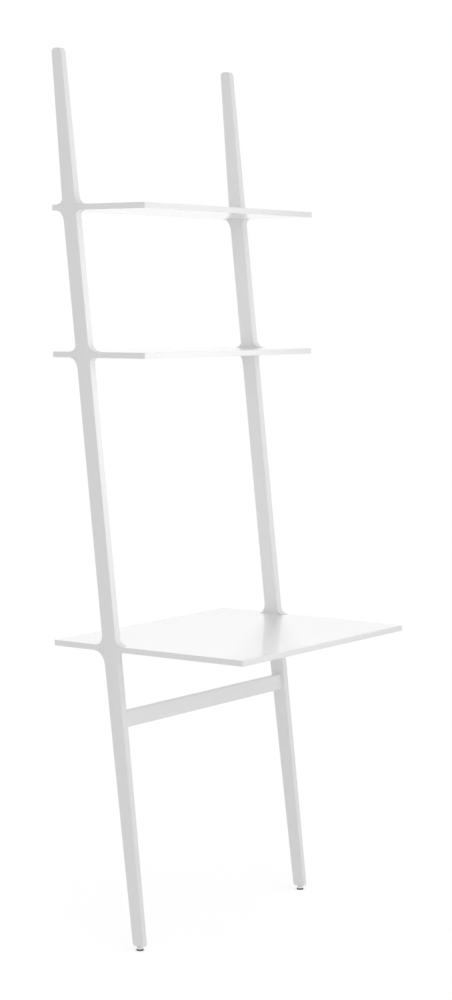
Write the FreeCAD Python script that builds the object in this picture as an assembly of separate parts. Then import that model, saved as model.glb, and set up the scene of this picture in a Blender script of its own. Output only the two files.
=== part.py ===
import FreeCAD, Part
import os
from math import cos, pi, radians, sqrt, tan

# Ladder desk: two leaning stiles carry a desk top and two shelves, and a wall fixing holds it up.
# Frame: X across the desk, +Y towards the wall, +Z up. The origin is on the floor, below the middle
# of the desk top. Lengths are millimetres.

# ---- Driving sizes ----
overall_width = 710.0          # over the outer faces of the stiles
desk_depth = 560.0
shelf_depth = 280.0
desk_height = 730.0            # upper surfaces above the floor
middle_shelf_height = 1430.0
top_shelf_height = 1780.0
stile_height = 2150.0
panel_thickness = 14.0

# Stile: one board, straight along its front edge, with all its taper on the back edge
front_edge_to_wall = 273.5     # at floor level
stile_lean = 6.45              # degrees back from upright
stile_width = 40.5             # front to back, between the desk and the top shelf
stile_foot_width = 33.5
stile_tip_width = 30.0
stile_thickness = 20.0         # across, between the desk and the top shelf
stile_foot_thickness = 14.0
stile_tip_thickness = 16.5
stile_edge_round = 1.5
tip_round = 10.0
foot_round_reach = 7.0         # the sole's rounded ends, along the floor
foot_round_rise = 9.0

# Coves where a stile flares out to meet a panel: reach along the panel, rise along the stile
shelf_coves = {"upper front": (20.0, 22.0), "upper back": (17.0, 15.0),
               "lower front": (11.0, 17.0), "lower back": (19.0, 30.0)}
desk_coves = {"upper front": (18.0, 18.0), "upper back": (18.0, 28.0),
              "lower front": (7.0, 11.0), "lower back": (28.0, 34.0)}
cove_lip = 0.8                 # thickness left at a cove's feathered end
waist_inset = 3.0              # the stile's waist inside a panel, in from each edge of the stile
housing_clearance = 0.1        # round the waist and over the panel

panel_corner_round = 3.0
panel_edge_round = 0.8

# Stretcher under the desk, tilted with the stiles
stretcher_height = 40.0
stretcher_thickness = 20.0
stretcher_centre_height = 551.0
stretcher_edge_round = 3.0

# Hidden knock-down fittings: a cam in the panel pulls on a bolt in the stile, and dowels locate them
fit_clearance = 0.05           # radial, on everything that sits in a drilled hole
bolt_thread_radius = 3.0
bolt_thread_length = 11.0
bolt_neck_radius = 2.0
bolt_collar_radius = 3.2
bolt_collar_length = 4.0
bolt_head_radius = 3.3
bolt_head_length = 3.0
bolt_channel_radius = 3.6
cam_setback = 24.0             # cam's axis from the stile's inner face
cam_radius = 6.0
cam_top_wall = 0.6             # cam metal beyond the bolt channel
cam_slot_width = 1.4
cam_slot_length = 8.0
cam_slot_depth = 1.6
dowel_chamfer = 0.8
panel_dowel_radius = 3.0
panel_dowel_spacing = 20.0
panel_dowel_in_stile = 10.0
panel_dowel_length = 28.0
stretcher_dowel_radius = 4.0
stretcher_dowel_spacing = 24.0
stretcher_dowel_in_stile = 10.0
stretcher_dowel_length = 32.0
dowel_end_gap = 0.5            # glue space at each end of a dowel

# Wall bracket: a steel angle on the top shelf, against the wall
bracket_length = 120.0
bracket_leg = 22.0
bracket_upstand = 15.0
bracket_thickness = 2.0
bracket_bend_radius = 1.5
bracket_corner_round = 4.0
wall_hole_radius = 2.5
wall_hole_spacing = 80.0
wall_hole_height = 8.5         # above the shelf
shelf_screw_spacing = 50.0
shelf_screw_count = 3
shelf_screw_from_wall = 13.0
shelf_screw_radius = 1.75
shelf_screw_head_radius = 3.4
shelf_screw_length = 12.0
shelf_screw_recess_width = 0.8
shelf_screw_recess_depth = 1.0

# Levelling feet
foot_pad_radius = 9.0
foot_pad_height = 3.5
foot_pad_edge_round = 1.2
foot_shoulder_gap = 0.3        # between the neck and the stile, screwed right in
foot_neck_height = 6.0
foot_neck_across_flats = 14.0
foot_stem_radius = 3.0
foot_stem_length = 22.0
foot_stem_chamfer = 0.7
foot_spigot_radius = 2.2
foot_spigot_length = 2.5
insert_radius = 4.5
insert_length = 14.0
stem_hole_radius = 3.6
stem_hole_length = 26.0

# ---- Places that follow from the sizes ----
V = FreeCAD.Vector
wall_y = desk_depth / 2
outer_x = overall_width / 2
inner_x = outer_x - stile_thickness
lean_slope = tan(radians(stile_lean))
desk_middle = desk_height - panel_thickness / 2
top_shelf_middle = top_shelf_height - panel_thickness / 2
stile_foot_height = foot_pad_height + foot_neck_height + foot_shoulder_gap
arm_margin = 12.0              # spare length of a flare's blank, cut off again
cut_margin = 1.0               # how far a cutting tool passes a surface

# Each crossing: height of the panel's upper surface, and its coves
crossings = {"desk_top": (desk_height, desk_coves),
             "middle_shelf": (middle_shelf_height, shelf_coves),
             "top_shelf": (top_shelf_height, shelf_coves)}
panel_depths = {"desk_top": desk_depth, "middle_shelf": shelf_depth, "top_shelf": shelf_depth}


def between(z, z_low, z_high, low, high):
    return low + (high - low) * (z - z_low) / (z_high - z_low)


def width_at(z):
    """Width of a stile, front to back, at height z."""
    if z < desk_middle:
        return between(z, stile_foot_height, desk_middle, stile_foot_width, stile_width)
    if z > top_shelf_middle:
        return between(z, top_shelf_middle, stile_height, stile_width, stile_tip_width)
    return stile_width


def front_edge(z):
    return wall_y - front_edge_to_wall + lean_slope * z


def back_edge(z):
    return front_edge(z) + width_at(z)


def middle_line(z):
    return (front_edge(z) + back_edge(z)) / 2


def inner_face(z):
    """Distance of a stile's inner face from the middle of the desk, at height z."""
    if z < desk_middle:
        return between(z, stile_foot_height, desk_middle, outer_x - stile_foot_thickness, inner_x)
    if z > top_shelf_middle:
        return between(z, top_shelf_middle, stile_height, inner_x, outer_x - stile_tip_thickness)
    return inner_x


# ---- Shapes used more than once ----
def block(low, high):
    size = high - low
    return Part.makeBox(size.x, size.y, size.z, low)


def rod(radius, start, along, chamfer=0.0):
    """Cylinder from start along a vector, with both ends chamfered."""
    length = along.Length
    profile = [V(0, 0, 0), V(radius - chamfer, 0, 0), V(radius, 0, chamfer),
               V(radius, 0, length - chamfer), V(radius - chamfer, 0, length), V(0, 0, length)]
    if not chamfer:
        profile = [V(0, 0, 0), V(radius, 0, 0), V(radius, 0, length), V(0, 0, length)]
    face = Part.Face(Part.makePolygon(profile + profile[:1]))
    solid = face.revolve(V(0, 0, 0), V(0, 0, 1), 360)
    turn = FreeCAD.Rotation(V(0, 0, 1), along)
    solid.Placement = FreeCAD.Placement(start, turn)
    return solid


def blended_outline(corners):
    """Closed wire in the YZ plane. Each corner is (y, z, setback before, setback after).

    A setback above zero rounds the corner with a conic that is tangent to both of its sides."""
    count = len(corners)
    points = [V(0, y, z) for y, z, before, after in corners]
    edges = []
    joints = []
    for i, (y, z, before, after) in enumerate(corners):
        to_last = (points[i - 1] - points[i]).normalize()
        to_next = (points[(i + 1) % count] - points[i]).normalize()
        joints.append((points[i] + to_last * before, points[i] + to_next * after))
        if before:
            curve = Part.BezierCurve()
            curve.setPoles([joints[i][0], points[i], joints[i][1]])
            half_turn = (pi - to_last.getAngle(to_next)) / 2
            curve.setWeight(2, cos(half_turn))
            edges.append((i, 0, curve.toShape()))
    for i in range(count):
        start = joints[i][1]
        end = joints[(i + 1) % count][0]
        edges.append((i, 1, Part.makeLine(start, end)))
    edges.sort(key=lambda item: item[:2])
    return Part.Wire([edge for i, order, edge in edges])


def lies_on(edge, axis, value):
    return all(abs(getattr(vertex.Point, axis) - value) < 1e-6 for vertex in edge.Vertexes)


def long_edges(solid, skip):
    """Outline edges of a stile blank's two side faces, apart from those on the planes in skip."""
    edges = []
    for face in solid.Faces:
        if abs(face.normalAt(0, 0).x) > 0.9:
            edges += [e for e in face.OuterWire.Edges if not any(lies_on(e, *plane) for plane in skip)]
    return edges


# ---- Stiles ----
def arm_ends(name):
    """Front and back ends of the blank from which one crossing's flares are cut."""
    height, coves = crossings[name]
    front_reach = max(coves["upper front"][0], coves["lower front"][0])
    back_reach = max(coves["upper back"][0], coves["lower back"][0])
    front = front_edge(height - panel_thickness) - front_reach - arm_margin
    back = back_edge(height) + back_reach + arm_margin
    return front, back


def upper_corners(name, side):
    """Outline over a panel, from the arm's end to the stile's edge, with the cove between them."""
    height, coves = crossings[name]
    level = height + cove_lip
    end = arm_ends(name)[0 if side == "front" else 1]
    edge = front_edge(level) if side == "front" else back_edge(level)
    reach, rise = coves["upper " + side]
    return [(end, level, 0, 0), (edge, level, reach, rise)]


def lower_corners(name, side):
    """Outline under a panel, from the stile's edge to the arm's end, with the cove between them."""
    height, coves = crossings[name]
    level = height - panel_thickness - cove_lip
    end = arm_ends(name)[0 if side == "front" else 1]
    edge = front_edge(level) if side == "front" else back_edge(level)
    reach, rise = coves["lower " + side]
    return [(edge, level, rise, reach), (end, level, 0, 0)]


def reverse_side(corners):
    return [(y, z, after, before) for y, z, before, after in reversed(corners)]


def inner_taper(z_full, z_end, front, back):
    """Wedge cut from a blank's inner face, from full thickness at z_full to the stile's end at z_end."""
    beyond = stile_thickness + cut_margin
    profile = [V(stile_thickness, front, z_full), V(outer_x - inner_face(z_end), front, z_end),
               V(beyond, front, z_end), V(beyond, front, z_full)]
    wedge = Part.Face(Part.makePolygon(profile + profile[:1]))
    return wedge.extrude(V(0, back - front, 0))


def stile_blank_above_desk():
    ends = arm_ends("desk_top")
    climb = {}
    for side in ("front", "back"):
        climb[side] = upper_corners("desk_top", side)
        for name in ("middle_shelf", "top_shelf"):
            climb[side] += lower_corners(name, side) + upper_corners(name, side)
    tip = [(front_edge(stile_height), stile_height, tip_round, tip_round),
           (back_edge(stile_height), stile_height, tip_round, tip_round)]
    base = [(ends[1], desk_middle, 0, 0), (ends[0], desk_middle, 0, 0)]
    outline = blended_outline(climb["front"] + tip + reverse_side(climb["back"]) + base)
    blank = Part.Face(outline).extrude(V(stile_thickness, 0, 0))
    above = stile_height + cut_margin
    front, back = arm_ends("top_shelf")
    back = max(back, back_edge(stile_height))
    blank = blank.cut(inner_taper(top_shelf_middle, above, front - cut_margin, back + cut_margin))
    flat = [("z", desk_middle), ("z", top_shelf_middle)]
    flat += [("y", end) for name in crossings for end in arm_ends(name)]
    return blank.makeFillet(stile_edge_round, long_edges(blank, flat))


def stile_blank_below_desk():
    ends = arm_ends("desk_top")
    sole = [(back_edge(stile_foot_height), stile_foot_height, foot_round_rise, foot_round_reach),
            (front_edge(stile_foot_height), stile_foot_height, foot_round_reach, foot_round_rise)]
    base = [(ends[0], desk_middle, 0, 0), (ends[1], desk_middle, 0, 0)]
    fall = reverse_side(lower_corners("desk_top", "back"))
    climb = lower_corners("desk_top", "front")
    outline = blended_outline(fall + sole + climb + base)
    blank = Part.Face(outline).extrude(V(stile_thickness, 0, 0))
    below = stile_foot_height - cut_margin
    blank = blank.cut(inner_taper(desk_middle, below, front_edge(below) - cut_margin, ends[1] + cut_margin))
    flat = [("z", desk_middle), ("y", ends[0]), ("y", ends[1])]
    return blank.makeFillet(stile_edge_round, long_edges(blank, flat))


def waist(name):
    """Front and back faces of a stile's waist inside a panel."""
    height = crossings[name][0]
    level = height - panel_thickness / 2
    half = stile_width / 2 - waist_inset
    return middle_line(level) - half, middle_line(level) + half


def housing_cuts(name):
    """What is cut from the blank so that a panel's two prongs pass between the flares."""
    height, coves = crossings[name]
    under = height - panel_thickness
    ends = arm_ends(name)
    cuts = []
    for side, end, inner in (("front", ends[0], waist(name)[0]), ("back", ends[1], waist(name)[1])):
        away = -1 if side == "front" else 1
        edge = front_edge if side == "front" else back_edge
        beyond = end + away * cut_margin
        over = height + cove_lip + cut_margin
        below = under - cove_lip - cut_margin
        upper_tip = edge(height + cove_lip) + away * coves["upper " + side][0]
        lower_tip = edge(under - cove_lip) + away * coves["lower " + side][0]
        spans = [(inner, under, height + housing_clearance), (upper_tip, under, over),
                 (lower_tip, below, height)]
        for start, low, high in spans:
            y_low, y_high = sorted((start, beyond))
            cuts.append(block(V(-cut_margin, y_low, low), V(stile_thickness + cut_margin, y_high, high)))
    return cuts


def fitting_holes_in_stile():
    """Holes for bolts, dowels and foot, in a stile with its outer face at X = 0."""
    holes = []
    for name, (height, coves) in crossings.items():
        level = height - panel_thickness / 2
        centre = V(stile_thickness, middle_line(level), level)
        holes += end_holes(centre, V(0, 1, 0), panel_dowel_radius, panel_dowel_spacing,
                           panel_dowel_in_stile)
    depth_x = outer_x - inner_face(stretcher_centre_height)
    centre = V(depth_x, middle_line(stretcher_centre_height), stretcher_centre_height)
    holes += end_holes(centre, stretcher_up, stretcher_dowel_radius, stretcher_dowel_spacing,
                       stretcher_dowel_in_stile)
    foot = V(stile_foot_thickness / 2, middle_line(stile_foot_height), stile_foot_height)
    holes.append(rod(insert_radius, foot - V(0, 0, cut_margin), V(0, 0, insert_length + cut_margin)))
    holes.append(rod(stem_hole_radius, foot, V(0, 0, stem_hole_length)))
    return holes


def end_holes(centre, spread, dowel_radius, dowel_spacing, dowel_depth):
    """Bolt hole and two dowel holes, from an inner face at centre towards -X."""
    start = centre + V(cut_margin, 0, 0)
    bolt_depth = cut_margin + bolt_thread_length + dowel_end_gap
    holes = [rod(bolt_thread_radius + fit_clearance, start, V(-bolt_depth, 0, 0))]
    for side in (-1, 1):
        offset = spread * (side * dowel_spacing / 2)
        depth = cut_margin + dowel_depth + dowel_end_gap
        holes.append(rod(dowel_radius + fit_clearance, start + offset, V(-depth, 0, 0)))
    return holes


def make_left_stile():
    stile = stile_blank_above_desk().fuse(stile_blank_below_desk()).removeSplitter()
    tools = fitting_holes_in_stile()
    for name in crossings:
        tools += housing_cuts(name)
    stile = stile.cut(tools)
    stile.translate(V(-outer_x, 0, 0))
    return stile


# ---- Fittings, made for the left end ----
def connecting_bolt(centre):
    """Bolt whose thread is in the stile and whose head is in the cam, pointing +X from centre."""
    thread = rod(bolt_thread_radius, centre - V(bolt_thread_length, 0, 0), V(bolt_thread_length, 0, 0))
    off_stile = V(housing_clearance, 0, 0)
    collar = rod(bolt_collar_radius, centre + off_stile, V(bolt_collar_length, 0, 0))
    head_start = cam_setback - bolt_head_length / 2
    neck = rod(bolt_neck_radius, centre, V(head_start, 0, 0))
    head = rod(bolt_head_radius, centre + V(head_start, 0, 0), V(bolt_head_length, 0, 0), bolt_head_length / 4)
    return thread.fuse([collar, neck, head]).removeSplitter()


def cam(centre, outward, face_distance):
    """Cam on the bolt's axis, its slotted end flush with the face that lies along outward."""
    axis_point = centre + V(cam_setback, 0, 0)
    inner_reach = bolt_channel_radius + cam_top_wall
    body = rod(cam_radius - fit_clearance, axis_point - outward * inner_reach,
               outward * (inner_reach + face_distance))
    channel_end = cam_setback + bolt_head_length / 2 + cam_top_wall
    channel = rod(bolt_channel_radius, centre, V(channel_end, 0, 0))
    across = V(1, 0, 0)
    along = outward.cross(across)
    slot_face = axis_point + outward * face_distance
    slots = []
    for long_way, short_way in ((across, along), (along, across)):
        corner = slot_face - long_way * (cam_slot_length / 2) - short_way * (cam_slot_width / 2)
        sides = [long_way * cam_slot_length, short_way * cam_slot_width]
        outline = [corner, corner + sides[0], corner + sides[0] + sides[1], corner + sides[1], corner]
        slots.append(Part.Face(Part.makePolygon(outline)).extrude(outward * -cam_slot_depth))
    return body.cut([channel] + slots)


def dowel_pair(centre, spread, radius, spacing, in_stile, length):
    pair = []
    for side in (-1, 1):
        start = centre + spread * (side * spacing / 2) - V(in_stile, 0, 0)
        pair.append(rod(radius, start, V(length, 0, 0), dowel_chamfer))
    return pair


def socket_cuts(centre, spread, outward, face_distance, radius, spacing, in_stile, length):
    """What is cut from a panel or stretcher for the fittings at its left end."""
    start = centre - V(cut_margin, 0, 0)
    cuts = [rod(bolt_channel_radius, start, V(cut_margin + cam_setback, 0, 0))]
    inner_reach = bolt_channel_radius + cam_top_wall
    pocket_base = centre + V(cam_setback, 0, 0) - outward * inner_reach
    cuts.append(rod(cam_radius, pocket_base, outward * (inner_reach + face_distance + cut_margin)))
    for side in (-1, 1):
        offset = spread * (side * spacing / 2)
        depth = cut_margin + length - in_stile + dowel_end_gap
        cuts.append(rod(radius + fit_clearance, start + offset, V(depth, 0, 0)))
    return cuts


def both_ends(solids):
    """The solids and their mirror images at the other end of the desk."""
    return solids + [solid.mirror(V(0, 0, 0), V(1, 0, 0)) for solid in solids]


# ---- Panels ----
def panel_joint_centre(name):
    level = crossings[name][0] - panel_thickness / 2
    return V(-inner_x, middle_line(level), level)


def make_panel(name):
    height = crossings[name][0]
    under = height - panel_thickness
    low = V(-outer_x, wall_y - panel_depths[name], under)
    panel = block(low, V(outer_x, wall_y, height))
    upright = [e for e in panel.Edges if e.Length < panel_thickness + 1e-6]
    panel = panel.makeFillet(panel_corner_round, upright)
    rims = [e for e in panel.Edges if lies_on(e, "z", under) or lies_on(e, "z", height)]
    panel = panel.makeFillet(panel_edge_round, rims)
    front, back = waist(name)
    notch = block(V(-outer_x - cut_margin, front - housing_clearance, under - cut_margin),
                  V(-inner_x, back + housing_clearance, height + cut_margin))
    cuts = [notch] + socket_cuts(panel_joint_centre(name), V(0, 1, 0), V(0, 0, -1), panel_thickness / 2,
                                 panel_dowel_radius, panel_dowel_spacing, panel_dowel_in_stile,
                                 panel_dowel_length)
    panel = panel.cut(both_ends(cuts))
    if name == "top_shelf":
        panel = panel.cut(shelf_screw_holes())
    return panel


# ---- Stretcher ----
stretcher_up = V(0, lean_slope, 1).normalize()
stretcher_back = V(0, 1, -lean_slope).normalize()


def make_stretcher():
    centre = V(0, middle_line(stretcher_centre_height), stretcher_centre_height)
    up = stretcher_up * (stretcher_height / 2)
    back = stretcher_back * (stretcher_thickness / 2)
    outline = [centre - up - back, centre + up - back, centre + up + back, centre - up + back]
    bar = Part.Face(Part.makePolygon(outline + outline[:1])).extrude(V(2 * outer_x, 0, 0))
    bar.translate(V(-outer_x, 0, 0))
    lengthwise = [e for e in bar.Edges if e.Length > outer_x]
    bar = bar.makeFillet(stretcher_edge_round, lengthwise)
    z_low = stretcher_centre_height - stretcher_height
    z_high = stretcher_centre_height + stretcher_height
    front = centre.y - stretcher_height
    span = [V(-inner_face(z_low), front, z_low), V(inner_face(z_low), front, z_low),
            V(inner_face(z_high), front, z_high), V(-inner_face(z_high), front, z_high)]
    room = Part.Face(Part.makePolygon(span + span[:1])).extrude(V(0, 2 * stretcher_height, 0))
    bar = bar.common(room)
    cuts = socket_cuts(stretcher_joint_centre(), stretcher_up, stretcher_back, stretcher_thickness / 2,
                       stretcher_dowel_radius, stretcher_dowel_spacing, stretcher_dowel_in_stile,
                       stretcher_dowel_length)
    return bar.cut(both_ends(cuts))


def stretcher_joint_centre():
    z = stretcher_centre_height
    return V(-inner_face(z), middle_line(z), z)


# ---- Wall bracket ----
def shelf_screw_places():
    first = -shelf_screw_spacing * (shelf_screw_count - 1) / 2
    y = wall_y - shelf_screw_from_wall
    return [V(first + i * shelf_screw_spacing, y, top_shelf_height) for i in range(shelf_screw_count)]


def screw_shape(place, radius_extra):
    """Countersunk screw, or the hole for one, with its head flush with the bracket's leg."""
    top = bracket_thickness
    head = shelf_screw_head_radius + radius_extra
    shank = shelf_screw_radius + radius_extra
    tip = top - shelf_screw_length
    taper = shelf_screw_head_radius - shelf_screw_radius
    profile = [V(0, 0, top), V(head, 0, top), V(shank, 0, top - taper), V(shank, 0, tip + taper), V(0, 0, tip)]
    solid = Part.Face(Part.makePolygon(profile + profile[:1])).revolve(V(0, 0, 0), V(0, 0, 1), 360)
    solid.translate(place)
    return solid


def shelf_screw_holes():
    return [screw_shape(place, fit_clearance) for place in shelf_screw_places()]


def make_bracket_screws():
    screws = []
    for place in shelf_screw_places():
        top = place + V(0, 0, bracket_thickness)
        half_long = V(shelf_screw_radius, 0, 0)
        half_short = V(0, shelf_screw_recess_width / 2, 0)
        deep = V(0, 0, shelf_screw_recess_depth)
        recess = block(top - half_long - half_short - deep, top + half_long + half_short + deep)
        crossed = recess.copy()
        crossed.rotate(top, V(0, 0, 1), 90)
        screws.append(screw_shape(place, 0).cut([recess, crossed]))
    return screws


def make_wall_bracket():
    low = top_shelf_height
    high = low + bracket_upstand
    t = bracket_thickness
    front = wall_y - bracket_leg
    inner = bracket_bend_radius
    outer = bracket_bend_radius + t
    profile = [(front, low, 0, 0), (wall_y, low, outer, outer), (wall_y, high, 0, 0),
               (wall_y - t, high, 0, 0), (wall_y - t, low + t, inner, inner), (front, low + t, 0, 0)]
    angle = Part.Face(blended_outline(profile)).extrude(V(bracket_length, 0, 0))
    angle.translate(V(-bracket_length / 2, 0, 0))
    corners = [e for e in angle.Edges if abs(e.Length - t) < 1e-6 and
               (lies_on(e, "y", front) or lies_on(e, "z", high))]
    angle = angle.makeFillet(bracket_corner_round, corners)
    holes = shelf_screw_holes()
    for side in (-1, 1):
        start = V(side * wall_hole_spacing / 2, wall_y - t - cut_margin, low + wall_hole_height)
        holes.append(rod(wall_hole_radius, start, V(0, t + 2 * cut_margin, 0)))
    return angle.cut(holes)


# ---- Levelling feet, made for the left stile ----
foot_centre = V(-outer_x + stile_foot_thickness / 2, middle_line(stile_foot_height), 0)


def make_foot_insert():
    """Threaded sleeve, flush with the stile's sole."""
    start = foot_centre + V(0, 0, stile_foot_height)
    sleeve = rod(insert_radius, start, V(0, 0, insert_length))
    bore = rod(foot_stem_radius + fit_clearance, start - V(0, 0, cut_margin),
               V(0, 0, insert_length + 2 * cut_margin))
    return sleeve.cut(bore)


def make_foot_stem():
    """Threaded stem with a six-sided neck to turn it by, two flats in line with the stile, and a spigot."""
    neck_start = foot_centre + V(0, 0, foot_pad_height)
    corner_radius = foot_neck_across_flats / sqrt(3)
    hexagon = [V(corner_radius * cos(radians(60 * i - 90)), corner_radius * cos(radians(60 * i)), 0)
               for i in range(7)]
    neck = Part.Face(Part.makePolygon(hexagon)).extrude(V(0, 0, foot_neck_height))
    neck.translate(neck_start)
    neck_top = neck_start + V(0, 0, foot_neck_height)
    stem = rod(foot_stem_radius, neck_top, V(0, 0, foot_stem_length))
    rim = [e for e in stem.Edges if lies_on(e, "z", neck_top.z + foot_stem_length)]
    stem = stem.makeChamfer(foot_stem_chamfer, rim)
    spigot = rod(foot_spigot_radius, neck_start - V(0, 0, foot_spigot_length), V(0, 0, foot_spigot_length))
    return neck.fuse([stem, spigot])


def make_foot_pad():
    """Round pad that stands on the floor."""
    pad = rod(foot_pad_radius, foot_centre, V(0, 0, foot_pad_height))
    pad = pad.makeFillet(foot_pad_edge_round, [e for e in pad.Edges if len(e.Vertexes) == 1])
    socket_start = foot_centre + V(0, 0, foot_pad_height - foot_spigot_length)
    return pad.cut(rod(foot_spigot_radius, socket_start, V(0, 0, foot_spigot_length + cut_margin)))


# ---- The assembly ----
def mirrored(solid):
    return solid.mirror(V(0, 0, 0), V(1, 0, 0))


def assembly():
    """Each node's name and its solids."""
    nodes = {}
    one_side = {"stile": make_left_stile(), "foot_insert": make_foot_insert(),
                "foot_stem": make_foot_stem(), "foot_pad": make_foot_pad()}
    for name, solid in one_side.items():
        nodes["left_" + name] = [solid]
        nodes["right_" + name] = [mirrored(solid)]
    for name in crossings:
        nodes[name] = [make_panel(name)]
        centre = panel_joint_centre(name)
        nodes[name + "_bolts"] = both_ends([connecting_bolt(centre)])
        nodes[name + "_cams"] = both_ends([cam(centre, V(0, 0, -1), panel_thickness / 2)])
        nodes[name + "_dowels"] = both_ends(dowel_pair(centre, V(0, 1, 0), panel_dowel_radius,
                                                       panel_dowel_spacing, panel_dowel_in_stile,
                                                       panel_dowel_length))
    centre = stretcher_joint_centre()
    nodes["stretcher"] = [make_stretcher()]
    nodes["stretcher_bolts"] = both_ends([connecting_bolt(centre)])
    nodes["stretcher_cams"] = both_ends([cam(centre, stretcher_back, stretcher_thickness / 2)])
    nodes["stretcher_dowels"] = both_ends(dowel_pair(centre, stretcher_up, stretcher_dowel_radius,
                                                     stretcher_dowel_spacing, stretcher_dowel_in_stile,
                                                     stretcher_dowel_length))
    nodes["wall_bracket"] = [make_wall_bracket()]
    nodes["bracket_screws"] = make_bracket_screws()
    return nodes


os.makedirs("parts", exist_ok=True)
for node, solids in assembly().items():
    shape = solids[0] if len(solids) == 1 else Part.makeCompound(solids)
    shape.exportStep(os.path.join("parts", node + ".step"))
    box = shape.BoundBox
    print("%-22s %2d solids  valid %s  volume %10.1f  X %.1f..%.1f  Y %.1f..%.1f  Z %.1f..%.1f" % (
        node, len(shape.Solids), shape.isValid(), shape.Volume, box.XMin, box.XMax, box.YMin, box.YMax,
        box.ZMin, box.ZMax))
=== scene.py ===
import math

import bmesh
import bpy
from mathutils import Matrix, Vector


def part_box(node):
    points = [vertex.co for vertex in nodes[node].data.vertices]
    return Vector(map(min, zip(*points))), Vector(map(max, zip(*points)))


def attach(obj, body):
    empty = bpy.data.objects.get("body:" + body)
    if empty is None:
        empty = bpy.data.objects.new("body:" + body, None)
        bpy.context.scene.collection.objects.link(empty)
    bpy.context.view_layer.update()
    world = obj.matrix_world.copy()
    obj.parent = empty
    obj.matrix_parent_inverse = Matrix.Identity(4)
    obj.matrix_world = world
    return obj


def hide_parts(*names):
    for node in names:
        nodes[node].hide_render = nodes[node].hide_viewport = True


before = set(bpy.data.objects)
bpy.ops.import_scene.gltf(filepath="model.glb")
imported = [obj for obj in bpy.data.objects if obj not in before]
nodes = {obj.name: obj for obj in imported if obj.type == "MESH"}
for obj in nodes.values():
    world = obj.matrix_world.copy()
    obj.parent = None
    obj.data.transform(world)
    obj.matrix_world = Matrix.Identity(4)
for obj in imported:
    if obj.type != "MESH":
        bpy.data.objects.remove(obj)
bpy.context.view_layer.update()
panel_names = ("desk_top", "middle_shelf", "top_shelf")
white = (1.0, 1.0, 1.0, 1.0)


# ---- Node helpers ----
def add(tree, kind, **settings):
    node = tree.nodes.new(kind)
    for key, value in settings.items():
        setattr(node, key, value)
    return node


def new_material(name):
    """A material with nothing but its shader, and the tree and shader to build on."""
    material = bpy.data.materials.new(name)
    material.use_nodes = True
    tree = material.node_tree
    tree.nodes.clear()
    out = add(tree, "ShaderNodeOutputMaterial")
    shader = add(tree, "ShaderNodeBsdfPrincipled")
    tree.links.new(shader.outputs["BSDF"], out.inputs["Surface"])
    return material, tree, shader


def place(tree, closeness=(1, 1, 1)):
    """Object coordinates in metres. A larger closeness packs a texture tighter along that axis."""
    coordinates = add(tree, "ShaderNodeTexCoord")
    mapping = add(tree, "ShaderNodeMapping")
    mapping.inputs["Scale"].default_value = closeness
    tree.links.new(coordinates.outputs["Object"], mapping.inputs["Vector"])
    return mapping.outputs["Vector"]


def noise(tree, vector, scale, detail, roughness=0.5):
    node = add(tree, "ShaderNodeTexNoise")
    node.inputs["Scale"].default_value = scale
    node.inputs["Detail"].default_value = detail
    node.inputs["Roughness"].default_value = roughness
    tree.links.new(vector, node.inputs["Vector"])
    return node.outputs["Fac"]


def two_colours(tree, value, low_stop, low_colour, high_stop, high_colour):
    node = add(tree, "ShaderNodeValToRGB")
    stops = ((low_stop, low_colour), (high_stop, high_colour))
    for element, (position, colour) in zip(node.color_ramp.elements, stops):
        element.position = position
        element.color = (*colour, 1.0)
    tree.links.new(value, node.inputs["Fac"])
    return node.outputs["Color"]


def map_range(tree, value, to_low, to_high, from_low=0.0, from_high=1.0):
    node = add(tree, "ShaderNodeMapRange")
    node.inputs["From Min"].default_value = from_low
    node.inputs["From Max"].default_value = from_high
    node.inputs["To Min"].default_value = to_low
    node.inputs["To Max"].default_value = to_high
    tree.links.new(value, node.inputs["Value"])
    return node.outputs["Result"]


def arithmetic(tree, operation, first, second):
    """Either value is a number or a node's output."""
    node = add(tree, "ShaderNodeMath", operation=operation)
    for socket, value in zip(node.inputs, (first, second)):
        if isinstance(value, float):
            socket.default_value = value
        else:
            tree.links.new(value, socket)
    return node.outputs["Value"]


def bump(tree, shader, height, strength, depth, below=None):
    """A relief up to depth metres deep, on top of the normal below."""
    node = add(tree, "ShaderNodeBump")
    node.inputs["Strength"].default_value = strength
    node.inputs["Distance"].default_value = depth
    tree.links.new(height, node.inputs["Height"])
    if below:
        tree.links.new(below, node.inputs["Normal"])
    tree.links.new(node.outputs["Normal"], shader.inputs["Normal"])
    return node.outputs["Normal"]


# ---- Materials ----
darkest_streak = 0.985                 # its colour, as a share of the lacquer's tint


def lacquer(name, grain_closeness, tint, gloss, grain_strength, film_strength):
    """White lacquer over wood or board: the grain barely shows, and the film has a fine ripple."""
    material, tree, shader = new_material(name)
    grain = noise(tree, place(tree, grain_closeness), scale=1.0, detail=4.0, roughness=0.6)
    cloud = noise(tree, place(tree), scale=5.0, detail=2.0)
    film = noise(tree, place(tree), scale=900.0, detail=1.0)
    streaks = arithmetic(tree, "MULTIPLY", grain, cloud)
    streak_tint = [channel * darkest_streak for channel in tint]
    colour = two_colours(tree, streaks, 0.1, streak_tint, 0.45, tint)
    tree.links.new(colour, shader.inputs["Base Color"])
    tree.links.new(map_range(tree, cloud, *gloss), shader.inputs["Roughness"])
    grain_normal = bump(tree, shader, grain, grain_strength, depth=0.0004)
    bump(tree, shader, film, film_strength, depth=0.0003, below=grain_normal)
    shader.inputs["IOR"].default_value = 1.5
    return material


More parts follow.
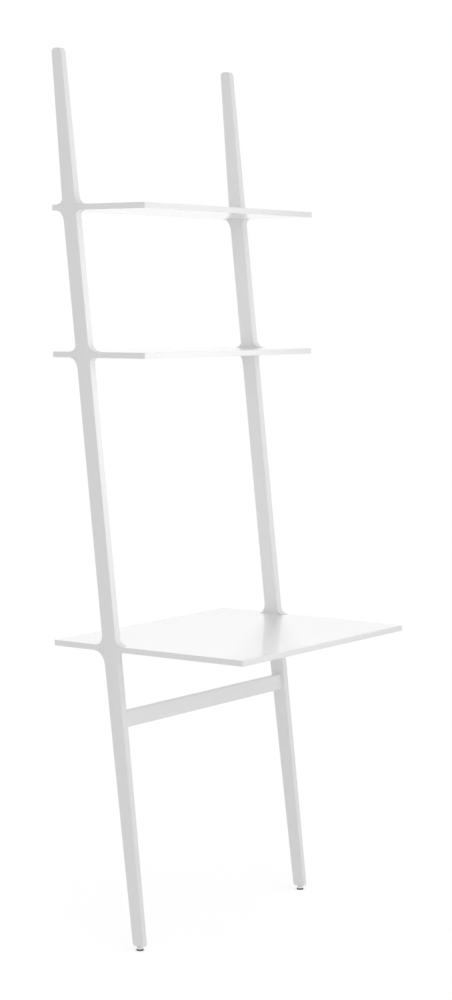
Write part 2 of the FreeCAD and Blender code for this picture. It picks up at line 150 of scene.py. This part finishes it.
def plated_steel():
    """Bright zinc plate, faintly clouded, with fine level marks."""
    material, tree, shader = new_material("zinc_plate")
    marks = noise(tree, place(tree, (1, 1, 12)), scale=260.0, detail=4.0, roughness=0.65)
    cloud = noise(tree, place(tree), scale=90.0, detail=3.0)
    colour = two_colours(tree, cloud, 0.3, (0.64, 0.65, 0.68), 0.7, (0.74, 0.75, 0.78))
    tree.links.new(colour, shader.inputs["Base Color"])
    tree.links.new(map_range(tree, marks, to_low=0.24, to_high=0.44), shader.inputs["Roughness"])
    shader.inputs["Metallic"].default_value = 1.0
    bump(tree, shader, marks, strength=0.12, depth=0.0002)
    return material


def beech():
    """Bare beech with its rays along X, as the dowels lie."""
    material, tree, shader = new_material("beech")
    rays = noise(tree, place(tree, (8, 160, 160)), scale=6.0, detail=5.0, roughness=0.7)
    colour = two_colours(tree, rays, 0.35, (0.50, 0.32, 0.17), 0.65, (0.68, 0.49, 0.30))
    tree.links.new(colour, shader.inputs["Base Color"])
    tree.links.new(map_range(tree, rays, to_low=0.5, to_high=0.7), shader.inputs["Roughness"])
    bump(tree, shader, rays, strength=0.3, depth=0.0003)
    return material


def dark_polymer():
    """Moulded pad with a fine matt grain, worn paler in places."""
    material, tree, shader = new_material("pad_polymer")
    grain = noise(tree, place(tree), scale=2200.0, detail=2.0)
    wear = noise(tree, place(tree), scale=160.0, detail=4.0)
    colour = two_colours(tree, wear, 0.35, (0.075, 0.075, 0.078), 0.75, (0.13, 0.13, 0.13))
    tree.links.new(colour, shader.inputs["Base Color"])
    tree.links.new(map_range(tree, grain, to_low=0.42, to_high=0.6), shader.inputs["Roughness"])
    bump(tree, shader, grain, strength=0.25, depth=0.0002)
    return material


satin_tint = (0.905, 0.905, 0.905)
satin_gloss = (0.30, 0.40)
satin_relief = {"grain_strength": 0.10, "film_strength": 0.04}
upright_lacquer = lacquer("lacquer_upright", (150, 150, 5), satin_tint, satin_gloss, **satin_relief)
rail_lacquer = lacquer("lacquer_rail", (5, 150, 150), satin_tint, satin_gloss, **satin_relief)
panel_lacquer = lacquer("lacquer_panel", (4, 90, 90), tint=(0.915, 0.915, 0.915), gloss=(0.08, 0.12),
                        grain_strength=0.015, film_strength=0.01)
steel = plated_steel()
wood = beech()
polymer = dark_polymer()


def material_for(name):
    if name.endswith("_stile"):
        return upright_lacquer
    if name == "stretcher":
        return rail_lacquer
    if name in panel_names:
        return panel_lacquer
    if name.endswith("_dowels"):
        return wood
    if name.endswith("_pad"):
        return polymer
    return steel


for name, piece in nodes.items():
    for slot in piece.material_slots:
        slot.material = material_for(name)

# ---- Levelling screws ----
screw_columns = 36                     # points round the screw, six for each flat of the neck
merging_distance = 1e-6
sharp_from = math.radians(30)
spigot_radius = 0.0022
spigot_length = 0.0025
neck_height = 0.006
neck_chamfer_angle = math.radians(30)
neck_chamfer_rings = 5
thread_pitch = 0.001
thread_depth = 0.6134 * thread_pitch   # as metric threads have
thread_crest = 0.003
thread_root = thread_crest - thread_depth
screw_tip_radius = 0.0023
# The two flats and a flank between them, as shares of the pitch.
root_flat = 1 / 4
crest_flat = 1 / 8
flank = (1 - root_flat - crest_flat) / 2
# One turn of the thread's section: how far up the pitch, and the radius there.
thread_section = ((0.0, thread_root), (root_flat, thread_root),
                  (root_flat + flank, thread_crest), (root_flat + flank + crest_flat, thread_crest))


def screw_angle(column):
    return 2 * math.pi * column / screw_columns


def neck_radius(column, half_flats):
    """Distance from the axis to a side of the six-sided neck, two of whose flats face along X."""
    sixth = math.pi / 3
    from_flat = (screw_angle(column) + sixth / 2) % sixth - sixth / 2
    return half_flats / math.cos(from_flat)


def round_row(radius, height):
    return [(radius, height)] * screw_columns


def neck_rows(bottom, half_flats):
    """Level rows up the neck, with a conical chamfer on both faces."""
    corner = half_flats / math.cos(math.pi / 6)
    chamfer_height = (corner - half_flats) * math.tan(neck_chamfer_angle)
    lower = []
    for step in range(neck_chamfer_rings):
        share = step / (neck_chamfer_rings - 1)
        cone = half_flats + share * (corner - half_flats)
        radii = [min(cone, neck_radius(column, half_flats)) for column in range(screw_columns)]
        lower.append((share * chamfer_height, radii))
    upper = [(neck_height - rise, radii) for rise, radii in reversed(lower)]
    return [[(radius, bottom + rise) for radius in radii] for rise, radii in lower + upper]


def helical_rows(bottom, top):
    """Rows that climb one pitch a turn, cut off level at both ends."""
    turns = math.ceil((top - bottom) / thread_pitch) + 2
    rows = []
    for turn in range(turns):
        for rise, section_radius in thread_section:
            row = []
            for column in range(screw_columns):
                height = bottom + thread_pitch * (turn - 1 + rise + column / screw_columns)
                height = min(max(height, bottom), top)
                run_out = thread_root + height - bottom
                tip_chamfer = screw_tip_radius + top - height
                row.append((min(section_radius, run_out, tip_chamfer), height))
            rows.append(row)
    return rows


def add_points(shape, axis, row):
    points = []
    for column, (radius, height) in enumerate(row):
        angle = screw_angle(column)
        point = (axis.x + radius * math.cos(angle), axis.y + radius * math.sin(angle), height)
        points.append(shape.verts.new(point))
    return points


def add_skin(shape, axis, rows, climb):
    """Four-sided faces between rows of (radius, height). A row runs on into the one climb rows up."""
    points = [add_points(shape, axis, row) for row in rows]
    for index in range(len(points) - 1 - climb):
        below = points[index] + [points[index + climb][0]]
        above = points[index + 1] + [points[index + 1 + climb][0]]
        for column in range(screw_columns):
            shape.faces.new((below[column], below[column + 1], above[column + 1], above[column]))


def levelling_screw(side):
    """Spigot, six-sided neck and threaded shank as one closed mesh, where the plain stem is."""
    low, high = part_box(side + "_foot_stem")
    axis = (low + high) / 2
    neck_bottom = low.z + spigot_length
    shank_bottom = neck_bottom + neck_height
    level_rows = [round_row(spigot_radius, low.z), round_row(spigot_radius, neck_bottom)]
    level_rows += neck_rows(neck_bottom, half_flats=(high.x - low.x) / 2)
    level_rows.append(round_row(thread_root, shank_bottom))

    shape = bmesh.new()
    add_skin(shape, axis, level_rows, climb=0)
    add_skin(shape, axis, helical_rows(shank_bottom, high.z), climb=len(thread_section))
    bmesh.ops.remove_doubles(shape, verts=shape.verts, dist=merging_distance)
    bmesh.ops.holes_fill(shape, edges=[edge for edge in shape.edges if edge.is_boundary], sides=0)
    bmesh.ops.recalc_face_normals(shape, faces=shape.faces)
    mesh = bpy.data.meshes.new(side + "_foot_screw")
    shape.to_mesh(mesh)
    shape.free()
    mesh.shade_smooth()
    mesh.set_sharp_from_angle(angle=sharp_from)
    mesh.materials.append(steel)

    screw = bpy.data.objects.new(side + "_foot_screw", mesh)
    bpy.context.scene.collection.objects.link(screw)
    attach(screw, side + "_foot")
    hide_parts(side + "_foot_stem")


for side in ("left", "right"):
    levelling_screw(side)

# ---- Floor ----
# The camera and reflections see a whiter floor than the one that throws light on the object.
floor_half_side = 30.0
floor_grey_for_light = 0.95
floor_grey_as_seen = 1.0
floor_glow_for_light = 0.09
floor_glow_as_seen = 0.36


def floor_material():
    material, tree, shader = new_material("studio_floor")
    shader.inputs["Roughness"].default_value = 1.0
    shader.inputs["Specular IOR Level"].default_value = 0.0
    shader.inputs["Emission Color"].default_value = white
    ray = add(tree, "ShaderNodeLightPath")
    seen = arithmetic(tree, "MAXIMUM", ray.outputs["Is Camera Ray"], ray.outputs["Is Glossy Ray"])
    grey = map_range(tree, seen, floor_grey_for_light, floor_grey_as_seen)
    glow = map_range(tree, seen, floor_glow_for_light, floor_glow_as_seen)
    tree.links.new(grey, shader.inputs["Base Color"])
    tree.links.new(glow, shader.inputs["Emission Strength"])
    return material


def studio_floor():
    mesh = bpy.data.meshes.new("floor")
    shape = bmesh.new()
    bmesh.ops.create_grid(shape, x_segments=1, y_segments=1, size=floor_half_side)
    shape.to_mesh(mesh)
    shape.free()
    mesh.materials.append(floor_material())
    floor = bpy.data.objects.new("floor", mesh)
    bpy.context.scene.collection.objects.link(floor)


# ---- Room light ----
left_wall_light = 0.43
front_wall_light = 1.04
wall_light = 0.08
overhead_light = 0.745


def add_background(tree, colour):
    node = add(tree, "ShaderNodeBackground")
    node.inputs["Color"].default_value = colour
    return node


def studio_world():
    """Room light, strongest low in front, then overhead, then at the left, before a white backdrop."""
    world = bpy.data.worlds.new("studio")
    bpy.context.scene.world = world
    world.use_nodes = True
    tree = world.node_tree
    tree.nodes.clear()
    coordinates = add(tree, "ShaderNodeTexCoord")
    direction = add(tree, "ShaderNodeSeparateXYZ")
    tree.links.new(coordinates.outputs["Generated"], direction.inputs["Vector"])
    left_wall = map_range(tree, direction.outputs["X"], left_wall_light, 0.0, from_low=-1.0, from_high=0.0)
    front_wall = map_range(tree, direction.outputs["Y"], front_wall_light, 0.0, from_low=-1.0, from_high=0.0)
    height = map_range(tree, direction.outputs["Z"], 0.0, 1.0)
    walls = arithmetic(tree, "ADD", arithmetic(tree, "ADD", left_wall, front_wall), wall_light)
    low_light = arithmetic(tree, "MULTIPLY", walls, arithmetic(tree, "SUBTRACT", 1.0, height))
    high_light = arithmetic(tree, "MULTIPLY", height, overhead_light)
    room = add_background(tree, white)
    tree.links.new(arithmetic(tree, "ADD", low_light, high_light), room.inputs["Strength"])
    backdrop = add_background(tree, white)
    ray = add(tree, "ShaderNodeLightPath")
    straight = arithmetic(tree, "MAXIMUM", ray.outputs["Is Camera Ray"], ray.outputs["Is Transmission Ray"])
    seen = arithmetic(tree, "MAXIMUM", straight, ray.outputs["Is Glossy Ray"])
    choice = add(tree, "ShaderNodeMixShader")
    room_socket, backdrop_socket = choice.inputs[1:]
    tree.links.new(seen, choice.inputs["Fac"])
    tree.links.new(room.outputs["Background"], room_socket)
    tree.links.new(backdrop.outputs["Background"], backdrop_socket)
    out = add(tree, "ShaderNodeOutputWorld")
    tree.links.new(choice.outputs["Shader"], out.inputs["Surface"])


# ---- Lamps ----
softbox_width = 0.35
softbox_height = 0.80
softbox_spread = math.radians(70)
softbox_watts = 0.70
softbox_place = (-0.06, -1.15, 1.36)
softbox_turn = math.radians(8)
sun_azimuth = math.radians(52.6)
sun_height = math.radians(35.0)
sun_strength = 1.75
sun_angle = math.radians(10.5)


def new_lamp(name, kind):
    """A lamp that neither the camera nor a reflection sees."""
    lamp = bpy.data.objects.new(name, bpy.data.lights.new(name, kind))
    bpy.context.scene.collection.objects.link(lamp)
    lamp.visible_camera = False
    lamp.visible_glossy = False
    return lamp


def softbox():
    """A weak lamp in front of the desk, near the middle shelf's height."""
    lamp = new_lamp("softbox", "AREA")
    lamp.data.shape = "RECTANGLE"
    lamp.data.size = softbox_width
    lamp.data.size_y = softbox_height
    lamp.data.spread = softbox_spread
    lamp.data.energy = softbox_watts
    lamp.location = softbox_place
    lamp.rotation_euler = (math.radians(90), 0.0, softbox_turn)


def panel_sun():
    """A sun behind the right-hand end casts the stiles' shadows along the panels, and lights nothing else."""
    to_sun = Vector((math.sin(sun_azimuth) * math.cos(sun_height),
                     math.cos(sun_azimuth) * math.cos(sun_height), math.sin(sun_height)))
    lamp = new_lamp("sun", "SUN")
    lamp.data.energy = sun_strength
    lamp.data.angle = sun_angle
    lamp.rotation_euler = to_sun.to_track_quat("Z", "Y").to_euler()
    lit = bpy.data.collections.new("lit_by_sun")
    for panel_name in panel_names:
        lit.objects.link(nodes[panel_name])
    lamp.light_linking.receiver_collection = lit


# ---- Camera ----
image_height = 1000
focal_pixels = 2250.0
sensor_height = 36.0
camera_azimuth = math.radians(54.70)
camera_pitch = math.radians(4.98)
camera_roll = math.radians(0.063)
camera_place = Vector((-4.539, -3.194, 1.544))


def photo_camera():
    ahead = Vector((math.sin(camera_azimuth) * math.cos(camera_pitch),
                    math.cos(camera_azimuth) * math.cos(camera_pitch), -math.sin(camera_pitch)))
    level = Vector((math.cos(camera_azimuth), -math.sin(camera_azimuth), 0.0))
    above = level.cross(ahead)
    right = math.cos(camera_roll) * level + math.sin(camera_roll) * above
    up = math.cos(camera_roll) * above - math.sin(camera_roll) * level
    camera = bpy.data.objects.new("camera", bpy.data.cameras.new("camera"))
    camera.data.sensor_fit = "VERTICAL"
    camera.data.sensor_height = sensor_height
    camera.data.lens = focal_pixels * sensor_height / image_height
    turn = Matrix((right, up, -ahead)).transposed()
    camera.matrix_world = Matrix.Translation(camera_place) @ turn.to_4x4()
    bpy.context.scene.collection.objects.link(camera)
    bpy.context.scene.camera = camera


studio_floor()
studio_world()
softbox()
panel_sun()
photo_camera()
bpy.context.scene.view_settings.view_transform = "Standard"
